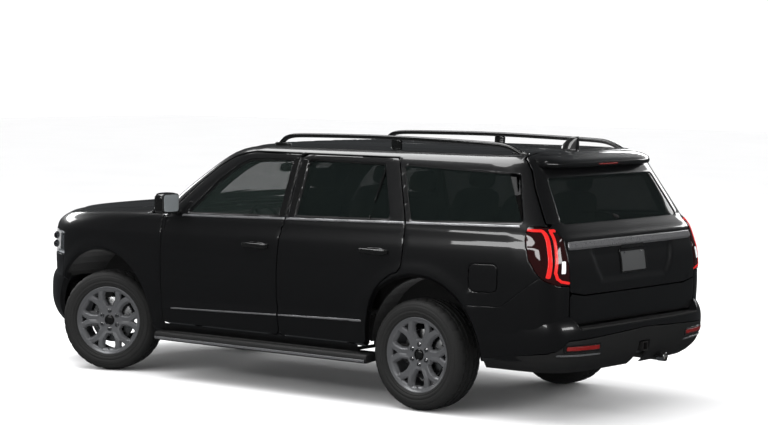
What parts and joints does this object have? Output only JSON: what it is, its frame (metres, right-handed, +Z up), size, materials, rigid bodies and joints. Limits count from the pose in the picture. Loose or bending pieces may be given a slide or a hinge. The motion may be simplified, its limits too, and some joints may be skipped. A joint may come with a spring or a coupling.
{
  "type": "sport utility vehicle",
  "caption": "Full-size black family utility vehicle with opening side doors, hood, liftgate and lower tailgate, steered front wheels and a furnished cabin.",
  "frame": {"origin": "on the ground below the middle of the bounding box", "axes": "+X forward, +Y to the left, +Z up"},
  "size_m": [5.334, 2.34, 1.905],
  "materials": {
    "black_paint": "gloss black paint",
    "dark_steel": "matt black chassis coating",
    "alloy": "dark satin grey",
    "tyre_rubber": "matt",
    "tinted_glass": "dark tint",
    "clear_glass": "light tint",
    "black_plastic": "fine grain",
    "gloss_plastic": "gloss black",
    "lamp_clear": "clear lens",
    "lamp_red": "red lens",
    "cast_metal": "as cast",
    "steel": "satin",
    "seat_leather": "soft grain",
    "liner_felt": "matt"
  },
  "bodies": {
    "body": {"ladder_frame": "dark_steel", "floor_pan": "liner_felt", "body_sides": "black_paint", "roof_panel": "black_paint", "front_fenders": "black_paint", "front_bumper": "black_paint", "grille": "gloss_plastic", "headlamps": "lamp_clear", "rear_bumper": "black_paint", "tail_lamps": "lamp_red", "windshield": "clear_glass", "quarter_windows": "tinted_glass", "roof_rails": "black_plastic", "antenna": "black_paint", "running_boards": "black_plastic", "wheel_arch_liners": "liner_felt", "cowl": "black_plastic", "dashboard": "black_plastic", "front_seats": "seat_leather", "second_row_seats": "seat_leather", "third_row_seat": "seat_leather", "engine_block": "cast_metal", "radiator": "alloy", "drivetrain": "cast_metal", "exhaust": "steel", "fuel_tank": "black_plastic", "hitch_receiver": "dark_steel", "front_suspension": "dark_steel", "rear_suspension": "dark_steel"},
    "front_door_left": {"front_door_left": "black_paint", "front_glass_left": "tinted_glass", "door_mirror_left": "black_paint"},
    "front_door_right": {"front_door_right": "black_paint", "front_glass_right": "tinted_glass", "door_mirror_right": "black_paint"},
    "rear_door_left": {"rear_door_left": "black_paint", "rear_glass_left": "tinted_glass"},
    "rear_door_right": {"rear_door_right": "black_paint", "rear_glass_right": "tinted_glass"},
    "hood": {"hood": "black_paint"},
    "liftgate": {"liftgate": "black_paint", "liftgate_glass": "tinted_glass"},
    "lower_tailgate": {"lower_tailgate": "black_paint"},
    "fuel_flap": {"fuel_flap": "black_paint"},
    "knuckle_left": {"knuckle_left": "cast_metal"},
    "knuckle_right": {"knuckle_right": "cast_metal"},
    "front_left_wheel": {"wheel_front_left": "alloy", "tyre_front_left": "tyre_rubber"},
    "front_right_wheel": {"wheel_front_right": "alloy", "tyre_front_right": "tyre_rubber"},
    "rear_left_wheel": {"wheel_rear_left": "alloy", "tyre_rear_left": "tyre_rubber"},
    "rear_right_wheel": {"wheel_rear_right": "alloy", "tyre_rear_right": "tyre_rubber"},
    "steering_wheel": {"steering_wheel": "black_plastic"}
  },
  "joints": [
    {"name": "steer_left", "type": "hinge", "parent": "body", "child": "knuckle_left", "pos_m": [1.7, 0.79, 0.39], "axis": [0, 0, 1], "range_deg": [-57, 13]},
    {"name": "steer_right", "type": "hinge", "parent": "body", "child": "knuckle_right", "pos_m": [1.7, -0.79, 0.39], "axis": [0, 0, 1], "range_deg": [-57, 13]},
    {"name": "steering_wheel_turn", "type": "hinge", "parent": "body", "child": "steering_wheel", "pos_m": [0.475, 0.4, 1.15], "axis": [-0.9063, 0, 0.4226], "range_deg": [-878, 201]},
    {"name": "front_left_spin", "type": "hinge", "parent": "knuckle_left", "child": "front_left_wheel", "pos_m": [1.67827, 0.84378, 0.39], "axis": [-0.3746, 0.9272, 0], "continuous": true},
    {"name": "front_right_spin", "type": "hinge", "parent": "knuckle_right", "child": "front_right_wheel", "pos_m": [1.72173, -0.84378, 0.39], "axis": [-0.3746, 0.9272, 0], "continuous": true},
    {"name": "rear_left_spin", "type": "hinge", "parent": "body", "child": "rear_left_wheel", "pos_m": [-1.412, 0.848, 0.39], "axis": [0, 1, 0], "continuous": true},
    {"name": "rear_right_spin", "type": "hinge", "parent": "body", "child": "rear_right_wheel", "pos_m": [-1.412, -0.848, 0.39], "axis": [0, 1, 0], "continuous": true},
    {"name": "front_door_left_hinge", "type": "hinge", "parent": "body", "child": "front_door_left", "pos_m": [1.01, 0.975, 0.9], "axis": [0, 0, -1], "range_deg": [0, 66]},
    {"name": "front_door_right_hinge", "type": "hinge", "parent": "body", "child": "front_door_right", "pos_m": [1.01, -0.975, 0.9], "axis": [0, 0, 1], "range_deg": [0, 66]},
    {"name": "rear_door_left_hinge", "type": "hinge", "parent": "body", "child": "rear_door_left", "pos_m": [-0.165, 0.975, 0.9], "axis": [0, 0, -1], "range_deg": [0, 70]},
    {"name": "rear_door_right_hinge", "type": "hinge", "parent": "body", "child": "rear_door_right", "pos_m": [-0.165, -0.975, 0.9], "axis": [0, 0, 1], "range_deg": [0, 70]},
    {"name": "hood_hinge", "type": "hinge", "parent": "body", "child": "hood", "pos_m": [1.232, 0, 1.274], "axis": [0, -1, 0], "range_deg": [0, 50]},
    {"name": "liftgate_hinge", "type": "hinge", "parent": "body", "child": "liftgate", "pos_m": [-2.15, 0, 1.788], "axis": [0, 1, 0], "range_deg": [0, 85]},
    {"name": "lower_tailgate_hinge", "type": "hinge", "parent": "body", "child": "lower_tailgate", "pos_m": [-2.56, 0, 0.69], "axis": [0, -1, 0], "range_deg": [0, 90]},
    {"name": "fuel_flap_hinge", "type": "hinge", "parent": "body", "child": "fuel_flap", "pos_m": [-1.8625, 0.987, 0.96], "axis": [0, 0, -1], "range_deg": [0, 90]}
  ],
  "couplings": [
    {"joint": "steer_right", "follows": "steer_left", "ratio": 1},
    {"joint": "steering_wheel_turn", "follows": "steer_left", "ratio": 15.4}
  ]
}
